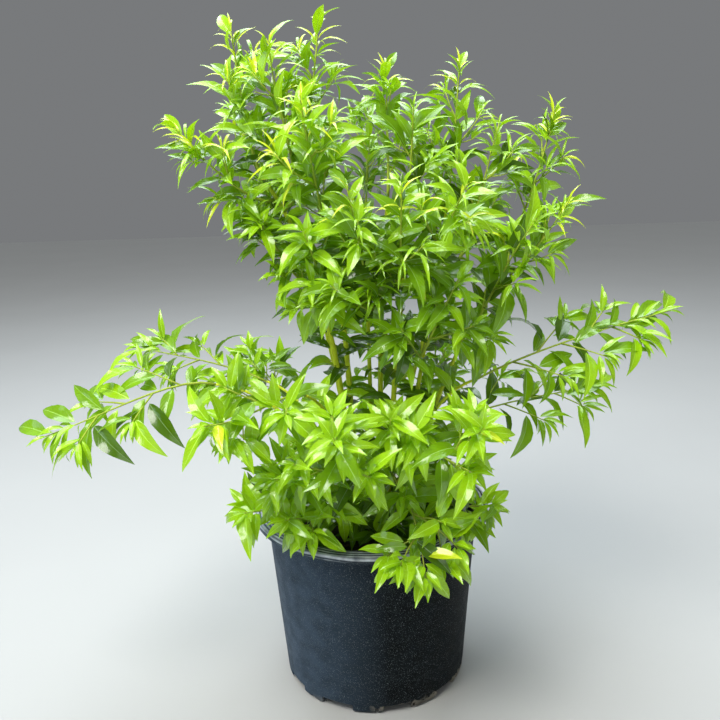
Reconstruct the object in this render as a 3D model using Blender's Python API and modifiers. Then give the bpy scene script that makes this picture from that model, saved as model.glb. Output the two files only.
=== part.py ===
"""Potted florida leucothoe: an arching evergreen shrub in a plain black nursery pot.

Metres, +Z up. The origin is the centre of the pot's flat underside, and the front faces -Y.
A heading is in degrees round the pot's axis: 0 is +X, the right, 180 the left, 270 the front.
Canes rise from the potting mix. Each spray of foliage is one solid: a stem that meets its
cane, side twigs, and leaves with their roots sunk into the wood.
"""

import math
import random
from typing import NamedTuple

import bmesh
import bpy
from mathutils import Matrix, Vector
from mathutils.bvhtree import BVHTree
from mathutils.kdtree import KDTree

PART_NAME = "potted_florida_leucothoe"
FIT_GAP = 0.0003

POT_HEIGHT = 0.215
LIP_RADIUS = 0.140
LIP_DEPTH = 0.008
LIP_WALL = 0.0025
LIP_ROUNDING = 0.002
MOUTH_ROUNDING = 0.001
RIM_RADIUS = 0.1265
SHOULDER_RADIUS = 0.1105
FOOT_ROUNDING = 0.006
FOOT_STEPS = 2
POT_WALL = 0.0024
FLOOR_WALL = 0.003
POT_SIDES = 36

DRAIN_NOTCHES = 10
DRAIN_HEADING = 282
DRAIN_WIDTH = 0.034
DRAIN_HEIGHT = 0.011
DRAIN_INNER_REACH = 0.090

SOIL_LEVEL = 0.190
SOIL_FLAT_RADIUS = 0.070
SOIL_FALL = 0.006

CANE_STEPS = 5
CANE_SIDES = 6
CANE_TAPER = 0.5
CANE_CUT_RISE = 0.006

SPRAY_STEM_STEPS = 4
SPRAY_STEM_SHARE = 0.85
STEM_LEAVING_SHARE = 0.25
STEM_ARRIVING_SHARE = 0.33
STEM_FOOT_RUN = 0.003
STEM_FOOT_SHARE = 0.9
SPRAY_FOOT_RADIUS = 0.0024
SPRAY_TIP_RADIUS = 0.0015
TWIG_SIDES = 3
TWIG_RADIUS = 0.0012
TWIG_TIP_RADIUS = 0.0010
TWIG_TAPER = 0.7
TWIG_SPREAD = 43
TWIG_SPACING = 0.030
FIRST_TWIG = 0.20
LAST_TWIG = 0.84
SHORTEST_TWIG = 0.028

LEAF_LENGTH = 0.080
LEAF_WIDTH = 0.036
LEAF_FOLD = 0.0042
LEAF_WIDEST = 0.40
LEAF_ARCH = 0.07
LEAF_TIP_DROP = 0.13
LEAF_ROOT_SHARE = 0.42
LEAF_SPACING = 0.017
LEAF_SIZES = (1.0, 0.82, 0.66)
LEAF_TRIES = 8
BARE_STEM = 0.30
BARE_TWIG = 0.25
END_LEAF_SHARE = 0.985
FOOT_LEAF_SPREAD = 62
TIP_LEAF_SPREAD = 40
END_LEAF_SPREAD = 8
RETRY_TURN = 0.4
RETRY_SPREAD = 7
OUTWARD_LEAN = 0.6
LIGHT_SWAY = 0.5

GOLDEN_ANGLE = 137.5
SPACE_POINT_GAP = 0.008
CANE_POINT_GAP = 0.004
OWN_SPACE_MARGIN = 0.003
SPRAY_REACH = 0.105
CANE_CLEARANCE = 0.0085
POT_CLEARANCE = 0.006
UP = Vector((0, 0, 1))
LIGHT = Vector((0, -0.6, 1))
UPPER_RANK = Vector((0, 0.7, 0.7))
RANK_SWAY = 0.35
RANK_SWAY_TURN = 2.4


class Cane(NamedTuple):
    """A limb from the potting mix to its tip, where its end spray takes over."""

    name: str
    foot_heading: float
    foot_reach: float
    heading: float
    reach: float
    height: float
    arch: float
    radius: float


class Habit(NamedTuple):
    """How a spray grows: its bend, its twigs' length for its own, and its leaves' droop, tip size and ranks."""

    bend: float
    twig_share: float
    droop: float
    tip_leaf: float
    two_ranked: bool


class Spray(NamedTuple):
    """A foliage mass. `at` is its place along its cane, 1 at the tip."""

    name: str
    cane: str
    at: float
    heading: float
    reach: float
    height: float
    habit: str


CANES = (
    Cane("left_leader", 200, 0.020, 180, 0.108, 0.600, 0.3, 0.0044),
    Cane("left_twin", 150, 0.020, 153, 0.066, 0.605, 0.2, 0.0042),
    Cane("centre_leader", 20, 0.012, 54, 0.049, 0.570, 0.1, 0.0042),
    Cane("centre_twin", 320, 0.024, 337, 0.052, 0.560, 0.0, 0.0040),
    Cane("right_leader", 15, 0.038, 17, 0.100, 0.560, -0.5, 0.0034),
    Cane("right_outer_cane", 25, 0.050, 10, 0.177, 0.530, 0.1, 0.0032),
    Cane("left_arm_cane", 190, 0.042, 192, 0.174, 0.378, 0.8, 0.0030),
    Cane("left_upper_arm_cane", 160, 0.042, 158, 0.134, 0.355, 0.8, 0.0028),
    Cane("right_arm_cane", 345, 0.042, 350, 0.126, 0.371, 0.7, 0.0030),
    Cane("right_lower_arm_cane", 22, 0.064, 24, 0.112, 0.293, 0.8, 0.0028),
    Cane("front_left_cane", 232, 0.040, 240, 0.130, 0.385, 0.6, 0.0028),
    Cane("front_cane", 265, 0.036, 260, 0.105, 0.290, 0.6, 0.0026),
    Cane("front_right_cane", 300, 0.042, 294, 0.112, 0.300, 0.6, 0.0026),
    Cane("back_left_cane", 120, 0.038, 125, 0.120, 0.480, 0.2, 0.0034),
    Cane("back_cane", 85, 0.034, 88, 0.100, 0.520, 0.1, 0.0036),
    Cane("back_right_cane", 50, 0.042, 45, 0.140, 0.470, 0.2, 0.0034),
    Cane("back_low_left_cane", 140, 0.060, 132, 0.140, 0.300, 0.7, 0.0028),
    Cane("back_low_right_cane", 62, 0.060, 62, 0.140, 0.300, 0.7, 0.0028),
)

SPRAYS = (
    Spray("left_crest", "left_leader", 1, 183, 0.135, 0.764, "upright"),
    Spray("left_crest_inner", "left_leader", 0.90, 205, 0.100, 0.752, "upright"),
    Spray("left_outer", "left_leader", 0.94, 196, 0.206, 0.658, "upright"),
    Spray("left_low", "left_leader", 0.70, 198, 0.128, 0.572, "bushy"),
    Spray("left_peak", "left_twin", 1, 136, 0.058, 0.776, "upright"),
    Spray("left_front", "left_twin", 0.80, 245, 0.140, 0.690, "upright"),
    Spray("left_inner", "left_twin", 0.60, 242, 0.130, 0.553, "bushy"),
    Spray("back_crest_left", "left_twin", 0.72, 155, 0.181, 0.704, "upright"),
    Spray("centre_peak", "centre_leader", 1, 63, 0.068, 0.730, "upright"),
    Spray("centre_inner", "centre_leader", 0.74, 255, 0.075, 0.560, "bushy"),
    Spray("centre_small", "centre_twin", 1, 333, 0.062, 0.672, "upright"),
    Spray("right_front", "centre_twin", 0.84, 299, 0.200, 0.598, "upright"),
    Spray("centre_front", "centre_twin", 0.72, 281, 0.173, 0.606, "upright"),
    Spray("centre_front_left", "centre_twin", 0.62, 261, 0.145, 0.612, "upright"),
    Spray("centre_low", "centre_twin", 0.50, 306, 0.158, 0.505, "bushy"),
    Spray("front_mid", "centre_twin", 0.22, 276, 0.178, 0.380, "bushy"),
    Spray("right_peak", "right_leader", 1, 19, 0.119, 0.730, "upright"),
    Spray("right_mid", "right_leader", 0.78, 353, 0.155, 0.666, "upright"),
    Spray("back_crest_right", "right_leader", 0.70, 52, 0.175, 0.650, "upright"),
    Spray("right_shoulder", "right_outer_cane", 1, 7, 0.221, 0.674, "upright"),
    Spray("right_outer", "right_outer_cane", 0.82, 348, 0.228, 0.574, "upright"),
    Spray("right_side", "right_outer_cane", 0.60, 332, 0.193, 0.557, "arching"),
    Spray("left_arm", "left_arm_cane", 1, 196, 0.359, 0.346, "arching"),
    Spray("rim_left", "left_arm_cane", 0.20, 226, 0.193, 0.266, "bushy"),
    Spray("left_arm_upper", "left_upper_arm_cane", 1, 171, 0.279, 0.406, "arching"),
    Spray("right_arm", "right_arm_cane", 1, 351, 0.334, 0.454, "arching"),
    Spray("rim_right_side", "right_arm_cane", 0.18, 322, 0.168, 0.249, "bushy"),
    Spray("right_arm_lower", "right_lower_arm_cane", 1, 11, 0.301, 0.339, "arching"),
    Spray("front_left", "front_left_cane", 1, 234, 0.255, 0.385, "bushy"),
    Spray("front_low_left", "front_left_cane", 0.45, 240, 0.192, 0.314, "bushy"),
    Spray("rim_front_left", "front_left_cane", 0.20, 240, 0.176, 0.264, "bushy"),
    Spray("front_centre", "front_cane", 1, 262, 0.245, 0.385, "bushy"),
    Spray("front_right", "front_right_cane", 1, 296, 0.236, 0.378, "bushy"),
    Spray("rim_right", "front_right_cane", 0.82, 284, 0.203, 0.227, "weeping"),
    Spray("back_left", "back_left_cane", 1, 124, 0.215, 0.610, "upright"),
    Spray("back_centre", "back_cane", 1, 86, 0.185, 0.700, "upright"),
    Spray("rim_back", "back_cane", 0.12, 92, 0.185, 0.270, "bushy"),
    Spray("back_right", "back_right_cane", 1, 43, 0.232, 0.600, "upright"),
    Spray("back_low_left", "back_low_left_cane", 1, 128, 0.285, 0.365, "bushy"),
    Spray("back_low_right", "back_low_right_cane", 1, 60, 0.285, 0.360, "bushy"),
)

HABITS = {
    "upright": Habit(bend=0.45, twig_share=0.37, droop=-0.05, tip_leaf=0.62, two_ranked=False),
    "bushy": Habit(bend=0.15, twig_share=0.46, droop=0.35, tip_leaf=0.75, two_ranked=False),
    "arching": Habit(bend=-0.10, twig_share=0.34, droop=0.15, tip_leaf=0.80, two_ranked=True),
    "weeping": Habit(bend=-0.50, twig_share=0.60, droop=0.45, tip_leaf=0.70, two_ranked=False),
}


def polar(heading, reach, height):
    angle = math.radians(heading)
    return Vector((reach * math.cos(angle), reach * math.sin(angle), height))


def clear_scene():
    for thing in list(bpy.data.objects):
        bpy.data.objects.remove(thing)


def new_collection(name):
    group = bpy.data.collections.new(name)
    bpy.context.scene.collection.children.link(group)
    return group


def new_material(name, color, roughness, metallic=0.0):
    material = bpy.data.materials.new(name)
    material.use_nodes = True
    shader = material.node_tree.nodes["Principled BSDF"]
    shader.inputs["Base Color"].default_value = (*color, 1)
    shader.inputs["Roughness"].default_value = roughness
    shader.inputs["Metallic"].default_value = metallic
    return material


def new_object(name, bm, group, material=None):
    """Turns a bmesh into an object of the group, and frees the bmesh."""
    mesh = bpy.data.meshes.new(name)
    bm.to_mesh(mesh)
    bm.free()
    if material:
        mesh.materials.append(material)
    thing = bpy.data.objects.new(name, mesh)
    group.objects.link(thing)
    return thing


def turned(name, profile, group, material):
    """A solid of revolution: the profile runs from the axis round the outer side and back to the axis."""
    bm = bmesh.new()
    corners = [bm.verts.new((radius, 0, height)) for radius, height in profile]
    for one, other in zip(corners, corners[1:]):
        bm.edges.new((one, other))
    thing = new_object(name, bm, group, material)
    screw = thing.modifiers.new("turn", "SCREW")
    screw.steps = POT_SIDES
    screw.render_steps = POT_SIDES
    screw.use_merge_vertices = True
    screw.merge_threshold = 0.0001
    screw.use_smooth_shade = True
    return thing


def wall_radius(height):
    """The outer radius of the pot's straight wall, which tapers from the rim to the shoulder of its foot."""
    share = (height - FOOT_ROUNDING) / (POT_HEIGHT - FOOT_ROUNDING)
    return SHOULDER_RADIUS + (RIM_RADIUS - SHOULDER_RADIUS) * share


def foot_arc(inset):
    """The rounded corner between wall and floor, from the wall down, moved in by `inset`."""
    centre = SHOULDER_RADIUS - FOOT_ROUNDING
    bend = FOOT_ROUNDING - inset
    angles = [math.radians(90 * step / FOOT_STEPS) for step in range(FOOT_STEPS + 1)]
    return [(centre + bend * math.cos(angle), FOOT_ROUNDING - bend * math.sin(angle)) for angle in angles]


def pot_profile():
    """From the middle of the floor's upper side, up the inner wall, over the lip and down the outer side."""
    inner_wall = list(reversed(foot_arc(POT_WALL)))
    under_lip = POT_HEIGHT - LIP_WALL
    mouth = RIM_RADIUS - POT_WALL
    lip = [
        (mouth, POT_HEIGHT - MOUTH_ROUNDING),
        (mouth + MOUTH_ROUNDING, POT_HEIGHT),
        (LIP_RADIUS - LIP_ROUNDING, POT_HEIGHT),
        (LIP_RADIUS, POT_HEIGHT - LIP_ROUNDING),
        (LIP_RADIUS, POT_HEIGHT - LIP_DEPTH),
        (LIP_RADIUS - LIP_WALL, POT_HEIGHT - LIP_DEPTH),
        (LIP_RADIUS - LIP_WALL, under_lip),
        (wall_radius(under_lip), under_lip),
    ]
    return [(0, FLOOR_WALL), *inner_wall, *lip, *foot_arc(0), (0, 0)]


def build_pot(group, cutters, material):
    pot = turned("pot", pot_profile(), group, material)
    for notch in range(DRAIN_NOTCHES):
        bm = bmesh.new()
        bmesh.ops.create_cube(bm, size=1)
        length = LIP_RADIUS - DRAIN_INNER_REACH
        bmesh.ops.scale(bm, vec=(length, DRAIN_WIDTH, 2 * DRAIN_HEIGHT), verts=bm.verts)
        bmesh.ops.translate(bm, vec=(DRAIN_INNER_REACH + length / 2, 0, 0), verts=bm.verts)
        turn = Matrix.Rotation(math.radians(DRAIN_HEADING + notch * 360 / DRAIN_NOTCHES), 3, "Z")
        bmesh.ops.rotate(bm, matrix=turn, verts=bm.verts)
        cutter = new_object(f"drain_notch_{notch}", bm, cutters)
        cutter.hide_render = True
        cutter.display_type = "WIRE"
    cut = pot.modifiers.new("drain notches", "BOOLEAN")
    cut.operand_type = "COLLECTION"
    cut.collection = cutters
    cut.operation = "DIFFERENCE"
    cut.solver = "EXACT"
    return pot


def build_soil(group, material):
    """The potting mix fills the pot to below its rim, and falls a little towards the wall."""
    inset = POT_WALL + FIT_GAP
    edge_level = SOIL_LEVEL - SOIL_FALL
    edge_radius = wall_radius(edge_level) - inset - FIT_GAP
    bottom = FLOOR_WALL + FIT_GAP
    corner = foot_arc(inset + FIT_GAP)[:-1]
    profile = [
        (0, SOIL_LEVEL),
        (SOIL_FLAT_RADIUS, SOIL_LEVEL),
        (edge_radius, edge_level),
        *corner,
        (SHOULDER_RADIUS - FOOT_ROUNDING, bottom),
        (0, bottom),
    ]
    return turned("potting_mix", profile, group, material)


def curve_points(start, start_handle, end_handle, end, steps):
    """Points at even shares of a cubic curve."""
    points = []
    for step in range(steps + 1):
        t = step / steps
        s = 1 - t
        points.append(s**3 * start + 3 * s * s * t * start_handle + 3 * s * t * t * end_handle + t**3 * end)
    return points


def tangents_of(points):
    """The direction of the path at each of its points: its ends keep their first and last run's."""
    runs = [(b - a).normalized() for a, b in zip(points, points[1:])]
    inner = [(a + b).normalized() for a, b in zip(runs, runs[1:])]
    return [runs[0], *inner, runs[-1]]


def limb_mesh(points, radii, sides):
    """A tapering limb: one ring of corners carried along the path, with flat ends."""
    tangents = tangents_of(points)
    bm = bmesh.new()
    bmesh.ops.create_circle(bm, cap_ends=True, segments=sides, radius=radii[0])
    turn = UP.rotation_difference(tangents[0]).to_matrix().to_4x4()
    bmesh.ops.transform(bm, matrix=Matrix.Translation(points[0]) @ turn, verts=bm.verts)
    bm.faces.ensure_lookup_table()
    end = bm.faces[0]
    for step in range(1, len(points)):
        last = end
        grown = bmesh.ops.extrude_face_region(bm, geom=[last])["geom"]
        end = next(item for item in grown if isinstance(item, bmesh.types.BMFace))
        if step > 1:
            bmesh.ops.delete(bm, geom=[last], context="FACES_ONLY")
        here = Matrix.Translation(-points[step - 1])
        bend = tangents[step - 1].rotation_difference(tangents[step]).to_matrix().to_4x4()
        taper = Matrix.Scale(radii[step] / radii[step - 1], 4)
        there = Matrix.Translation(points[step])
        bmesh.ops.transform(bm, matrix=there @ taper @ bend @ here, verts=end.verts)
    bmesh.ops.recalc_face_normals(bm, faces=bm.faces)
    return bm


def even_taper(first, last, count):
    return [first + (last - first) * step / (count - 1) for step in range(count)]


def cane_path(cane):
    """From a foot cut level on the potting mix to the tip, leaving upward and ending along its lean or arch."""
    foot = polar(cane.foot_heading, cane.foot_reach, SOIL_LEVEL + FIT_GAP)
    tip = polar(cane.heading, cane.reach, cane.height)
    lean = (tip - foot).normalized()
    outward = polar(cane.heading, 1, 0)
    leaving = lean.lerp(UP, 0.5 + 0.5 * cane.arch).normalized()
    arriving = lean.lerp(outward, max(0, cane.arch)).normalized()
    handle = (tip - foot).length / 3
    level_cut = foot + UP * CANE_CUT_RISE
    curve = curve_points(level_cut, level_cut + leaving * handle, tip - arriving * handle, tip, CANE_STEPS)
    return [foot, *curve]


def cane_radii(cane, count):
    return even_taper(cane.radius, cane.radius * CANE_TAPER, count)


def length_of(path):
    return sum((b - a).length for a, b in zip(path, path[1:]))


def point_on(points, share):
    """The point and direction at a share of the path's length."""
    left = share * length_of(points)
    for start, end in zip(points, points[1:]):
        run = end - start
        if left <= run.length:
            return start + run * (left / run.length), run.normalized()
        left -= run.length
    return end, run.normalized()


def spray_stem(spray, path, radii):
    """The spray's main stem, from 0.3 mm clear of its cane to just short of its furthest leaf."""
    goal = polar(spray.heading, spray.reach, spray.height)
    cane_point, along = point_on(path, spray.at)
    way = (goal - cane_point).normalized()
    if spray.at == 1:
        leaving = along
        start = cane_point + along * FIT_GAP
        foot_radius = radii[-1]
    else:
        leaving = (way - along * way.dot(along)).normalized()
        cane_radius = radii[0] + (radii[-1] - radii[0]) * spray.at
        start = cane_point + leaving * (cane_radius + FIT_GAP)
        foot_radius = min(SPRAY_FOOT_RADIUS, cane_radius * STEM_FOOT_SHARE)
    end = start + (goal - start) * SPRAY_STEM_SHARE
    arriving = (way + UP * HABITS[spray.habit].bend).normalized()
    first_handle = start + leaving * (end - start).length * STEM_LEAVING_SHARE
    last_handle = end - arriving * (end - start).length * STEM_ARRIVING_SHARE
    curve = curve_points(start, first_handle, last_handle, end, SPRAY_STEM_STEPS)
    points = [start, start + leaving * STEM_FOOT_RUN, *curve[1:]]
    return points, even_taper(foot_radius, SPRAY_TIP_RADIUS, len(points))


def side_way(along, turn, spread, habit):
    """A direction that leaves `along` by the spread: all round it, or in two ranks that face the light."""
    if habit.two_ranked:
        rank = UPPER_RANK if turn % 2 < 1 else -UPPER_RANK
        around = rank + UP * RANK_SWAY * math.sin(turn * RANK_SWAY_TURN)
        around = (around - along * around.dot(along)).normalized()
    else:
        reference = along.orthogonal().normalized()
        around = Matrix.Rotation(math.radians(turn * GOLDEN_ANGLE), 3, along) @ reference
    angle = math.radians(spread)
    return (along * math.cos(angle) + around * math.sin(angle)).normalized()


def tree_of(points):
    tree = KDTree(len(points))
    for index, point in enumerate(points):
        tree.insert(point, index)
    tree.balance()
    return tree


def fill_in(points, spacing):
    """The path's points, and others between them no further apart than the spacing."""
    filled = [points[0]]
    for one, other in zip(points, points[1:]):
        count = max(1, math.ceil((other - one).length / spacing))
        filled += [one.lerp(other, step / count) for step in range(1, count + 1)]
    return filled


class Space:
    """Which wood a point is nearest, and how it stands to the canes and the pot."""

    def __init__(self, wood, cane_paths):
        points_of = {
            name: [point for path in paths for point in fill_in(path, SPACE_POINT_GAP)]
            for name, paths in wood.items()
        }
        self.own = {name: tree_of(points) for name, points in points_of.items()}
        self.others = {
            name: tree_of([p for other, points in points_of.items() if other != name for p in points])
            for name in wood
        }
        self.canes = tree_of([p for path in cane_paths.values() for p in fill_in(path, CANE_POINT_GAP)])

    def holds(self, name, point):
        if not clear_of_pot(point):
            return False
        own = self.own[name].find(point)[2]
        if own > SPRAY_REACH or own + OWN_SPACE_MARGIN > self.others[name].find(point)[2]:
            return False
        return self.canes.find(point)[2] > CANE_CLEARANCE


def clear_of_pot(point):
    reach = math.hypot(point.x, point.y)
    if point.z > POT_HEIGHT + POT_CLEARANCE or reach > LIP_RADIUS + POT_CLEARANCE:
        return True
    inner = wall_radius(point.z) - POT_WALL
    return reach < inner - POT_CLEARANCE and point.z > SOIL_LEVEL + POT_CLEARANCE


def first_turn_of(habit, rng):
    return rng.choice((0, 1)) if habit.two_ranked else rng.random() * 10


def turned_on(turn, extra, habit):
    """The turn of a further try: one in two ranks changes sides, and any other moves on part of a golden angle."""
    return turn + extra * (1 if habit.two_ranked else RETRY_TURN)


def spray_twigs(spray, stem, rng, space):
    """Side twigs along the stem, turned by the golden angle or ranked left and right, shorter towards its tip."""
    habit = HABITS[spray.habit]
    length = length_of(stem)
    count = max(2, round(length * (LAST_TWIG - FIRST_TWIG) / TWIG_SPACING))
    first_turn = first_turn_of(habit, rng)
    twigs = []
    for index in range(count):
        share = FIRST_TWIG + (LAST_TWIG - FIRST_TWIG) * index / count
        start, along = point_on(stem, share)
        share_of_stem = habit.twig_share * (1 - TWIG_TAPER * share)
        reach = max(SHORTEST_TWIG, length * share_of_stem) * rng.uniform(0.9, 1.15)
        for extra in range(LEAF_TRIES):
            way = side_way(along, turned_on(first_turn + index, extra, habit), TWIG_SPREAD, habit)
            middle = start + way * reach * 0.5
            end = start + way * reach + UP * reach * habit.bend * 0.5
            if space.holds(spray.name, end) and space.holds(spray.name, middle):
                twigs.append(([start, end], [TWIG_RADIUS, TWIG_TIP_RADIUS]))
                break
    return twigs


class LeafPlace(NamedTuple):
    """Which limb of its spray a leaf roots in, where, and how it first turns from it."""

    limb: int
    root: Vector
    along: Vector
    wood_radius: float
    turn: float
    spread: float
    size: float


def leaf_places(limb, path, radii, spray, rng):
    """The places of a stem's or twig's leaves: alternate, closing in towards the tip, with one at the end."""
    habit = HABITS[spray.habit]
    bare_share = BARE_STEM if limb == 0 else BARE_TWIG
    count = max(1, round(length_of(path) * (1 - bare_share) / LEAF_SPACING))
    first_turn = first_turn_of(habit, rng)
    places = []
    for index in range(count):
        share = bare_share + (1 - bare_share) * (index + 0.5) / count
        root, along = point_on(path, share)
        wood_radius = radii[0] + (radii[-1] - radii[0]) * share
        spread = FOOT_LEAF_SPREAD + (TIP_LEAF_SPREAD - FOOT_LEAF_SPREAD) * share
        size = (1 + (habit.tip_leaf - 1) * share) * rng.uniform(0.9, 1.08)
        places.append(LeafPlace(limb, root, along, wood_radius, first_turn + index, spread, size))
    root, along = point_on(path, END_LEAF_SHARE)
    end_turn = first_turn + count
    places.append(LeafPlace(limb, root, along, radii[-1], end_turn, END_LEAF_SPREAD, habit.tip_leaf))
    return places


def leaf_frame(way, light):
    """The leaf's axes: width, upper side and length, with the upper side to the light."""
    width = light.cross(way).normalized()
    upper = way.cross(width)
    return Matrix((width, upper, way)).transposed()


def leaf_corners(size, wood_radius):
    """Named corners of an arched leaf, whose sides fall from its rib: across, above and along its root."""
    length = LEAF_LENGTH * size
    half = LEAF_WIDTH * size / 2
    widest = length * LEAF_WIDEST
    crown = length * LEAF_ARCH
    return {
        "root": Vector((0, 0, -LEAF_ROOT_SHARE * wood_radius)),
        "tip": Vector((0, -length * LEAF_TIP_DROP, length)),
        "rib": Vector((0, crown, widest)),
        "left": Vector((-half, crown - LEAF_FOLD * size, widest)),
        "right": Vector((half, crown - LEAF_FOLD * size, widest)),
    }


def leaf_mesh(root, frame, corners):
    """A leaf as a closed solid of six faces, shaped from a sphere of one ring of three corners."""
    bm = bmesh.new()
    bmesh.ops.create_uvsphere(bm, u_segments=3, v_segments=2, radius=1)
    for vert in bm.verts:
        above, aside, along = vert.co
        if abs(along) > 0.5:
            corner = corners["tip" if along > 0 else "root"]
        elif above > 0.5:
            corner = corners["rib"]
        else:
            corner = corners["left" if aside > 0 else "right"]
        vert.co = root + frame @ corner
    return bm


def leaf_probes(root, frame, corners):
    """Points over the leaf that have to lie in its spray's own space."""
    ends = [corners["tip"], corners["left"], corners["right"], corners["rib"]]
    between = [
        corners["rib"].lerp(corners["tip"], 0.5),
        corners["left"].lerp(corners["tip"], 0.5),
        corners["right"].lerp(corners["tip"], 0.5),
        corners["rib"].lerp(corners["tip"], 0.8),
        corners["rib"] * 0.5,
    ]
    return [root + frame @ point for point in ends + between]


def shape_of(bm):
    shape = BVHTree.FromBMesh(bm)
    bm.free()
    return shape


def fitting_leaf(spray, place, light, shapes, space):
    """A leaf that turns on round its wood, and is then smaller, until it has its own space and touches nothing."""
    habit = HABITS[spray.habit]
    for shrink in LEAF_SIZES:
        corners = leaf_corners(place.size * shrink, place.wood_radius)
        for extra in range(LEAF_TRIES):
            turn = turned_on(place.turn, extra, habit)
            way = side_way(place.along, turn, place.spread + RETRY_SPREAD * extra, habit)
            frame = leaf_frame((way - UP * habit.droop).normalized(), light)
            if not all(space.holds(spray.name, point) for point in leaf_probes(place.root, frame, corners)):
                continue
            shape = shape_of(leaf_mesh(place.root, frame, corners))
            if not any(shape.overlap(other) for other in shapes):
                return (place.root, frame, corners), shape
    return None, None


def spray_leaves(spray, limbs, rng, space):
    """The leaves of a spray's stem and twigs that fit: a place with no room for one stays bare."""
    places = [place for limb, wood in enumerate(limbs) for place in leaf_places(limb, *wood, spray, rng)]
    limb_shapes = [shape_of(limb_mesh(*wood, TWIG_SIDES)) for wood in limbs]
    leaves = []
    leaf_shapes = []
    for place in places:
        sway = Vector((rng.uniform(-1, 1), rng.uniform(-1, 1), 0)) * LIGHT_SWAY
        light = LIGHT + polar(spray.heading, OUTWARD_LEAN, 0) + sway
        other_limbs = [shape for limb, shape in enumerate(limb_shapes) if limb != place.limb]
        leaf, shape = fitting_leaf(spray, place, light, other_limbs + leaf_shapes, space)
        if leaf:
            leaves.append(leaf)
            leaf_shapes.append(shape)
    return leaves


def largest_shell(mesh):
    """Keeps the mesh's largest connected shell: it drops loose scraps and fills sealed hollows."""
    bm = bmesh.new()
    bm.from_mesh(mesh)
    bmesh.ops.triangulate(bm, faces=bm.faces)
    unseen = set(bm.faces)
    shells = []
    while unseen:
        shell = []
        waiting = [unseen.pop()]
        while waiting:
            face = waiting.pop()
            shell.append(face)
            near = {other for edge in face.edges for other in edge.link_faces} & unseen
            unseen -= near
            waiting += near
        shells.append(shell)
    shells.sort(key=len)
    dropped = [face for shell in shells[:-1] for face in shell]
    bmesh.ops.delete(bm, geom=dropped, context="FACES")
    bm.to_mesh(mesh)
    bm.free()


def build_spray(spray, wood, leaves, group, material):
    """Joins the stem, its twigs and its leaves into one solid."""
    stem, *twigs = wood
    spray_object = new_object(spray.name, limb_mesh(*stem, TWIG_SIDES), group, material)
    pieces = new_collection(spray.name + "_pieces")
    for index, twig in enumerate(twigs):
        new_object(f"{spray.name}_twig_{index}", limb_mesh(*twig, TWIG_SIDES), pieces)
    for index, leaf in enumerate(leaves):
        new_object(f"{spray.name}_leaf_{index}", leaf_mesh(*leaf), pieces)
    join = spray_object.modifiers.new("join", "BOOLEAN")
    join.operand_type = "COLLECTION"
    join.collection = pieces
    join.operation = "UNION"
    join.solver = "MANIFOLD"
    graph = bpy.context.evaluated_depsgraph_get()
    joined = bpy.data.meshes.new_from_object(spray_object.evaluated_get(graph))
    largest_shell(joined)
    spray_object.modifiers.clear()
    spray_object.data = joined
    joined.name = spray.name
    for piece in list(pieces.objects):
        bpy.data.objects.remove(piece)
    bpy.data.collections.remove(pieces)


def build_canes(paths, group, material):
    for cane in CANES:
        path = paths[cane.name]
        new_object(cane.name, limb_mesh(path, cane_radii(cane, len(path)), CANE_SIDES), group, material)


def build_sprays(paths, group, materials):
    """Stems first, then twigs in the space round their own stem, then leaves in the space round their own wood."""
    radii = {cane.name: cane_radii(cane, len(paths[cane.name])) for cane in CANES}
    chance = {spray.name: random.Random(spray.name) for spray in SPRAYS}
    stems = {spray.name: spray_stem(spray, paths[spray.cane], radii[spray.cane]) for spray in SPRAYS}
    stem_space = Space({name: [stem[0]] for name, stem in stems.items()}, paths)
    twigs = {s.name: spray_twigs(s, stems[s.name][0], chance[s.name], stem_space) for s in SPRAYS}
    wood = {name: [stems[name], *twigs[name]] for name in stems}
    wood_space = Space({name: [limb[0] for limb in limbs] for name, limbs in wood.items()}, paths)
    for spray in SPRAYS:
        leaves = spray_leaves(spray, wood[spray.name], chance[spray.name], wood_space)
        build_spray(spray, wood[spray.name], leaves, group, materials[spray.habit])


def main():
    clear_scene()
    group = new_collection(PART_NAME)
    cutters = new_collection("drain_notch_cutters")
    build_pot(group, cutters, new_material("black_plastic", (0.012, 0.014, 0.018), 0.5))
    build_soil(group, new_material("potting_mix", (0.03, 0.02, 0.014), 0.95))
    paths = {cane.name: cane_path(cane) for cane in CANES}
    build_canes(paths, group, new_material("cane_bark", (0.20, 0.22, 0.05), 0.6))
    materials = {
        "upright": new_material("crown_leaf", (0.12, 0.30, 0.02), 0.35),
        "bushy": new_material("middle_leaf", (0.18, 0.40, 0.03), 0.35),
        "arching": new_material("arching_leaf", (0.20, 0.42, 0.03), 0.35),
        "weeping": new_material("low_leaf", (0.25, 0.50, 0.03), 0.35),
    }
    build_sprays(paths, group, materials)


main()
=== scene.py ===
"""The looks of a potted florida leucothoe: canes with bark relief, side twigs, glossy folded
leaves with pale midribs, curled young leaves at the shoot tips, and a plain nursery pot of mix.

Metres, +Z up, front facing -Y. A heading is in degrees round the pot's axis: 0 is +X, the
right, 180 the left, 270 the front. Canes, stems and side twigs follow the source's rule, and
finer twigs and real-sized leaves grow on from them within the same reach. Lone leaves on the
canes and short leafy shoots at their feet fill the plant's inside.
"""

import math
import random
from typing import NamedTuple

import bmesh
import bpy
import numpy as np
from mathutils import Matrix, Vector


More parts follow.
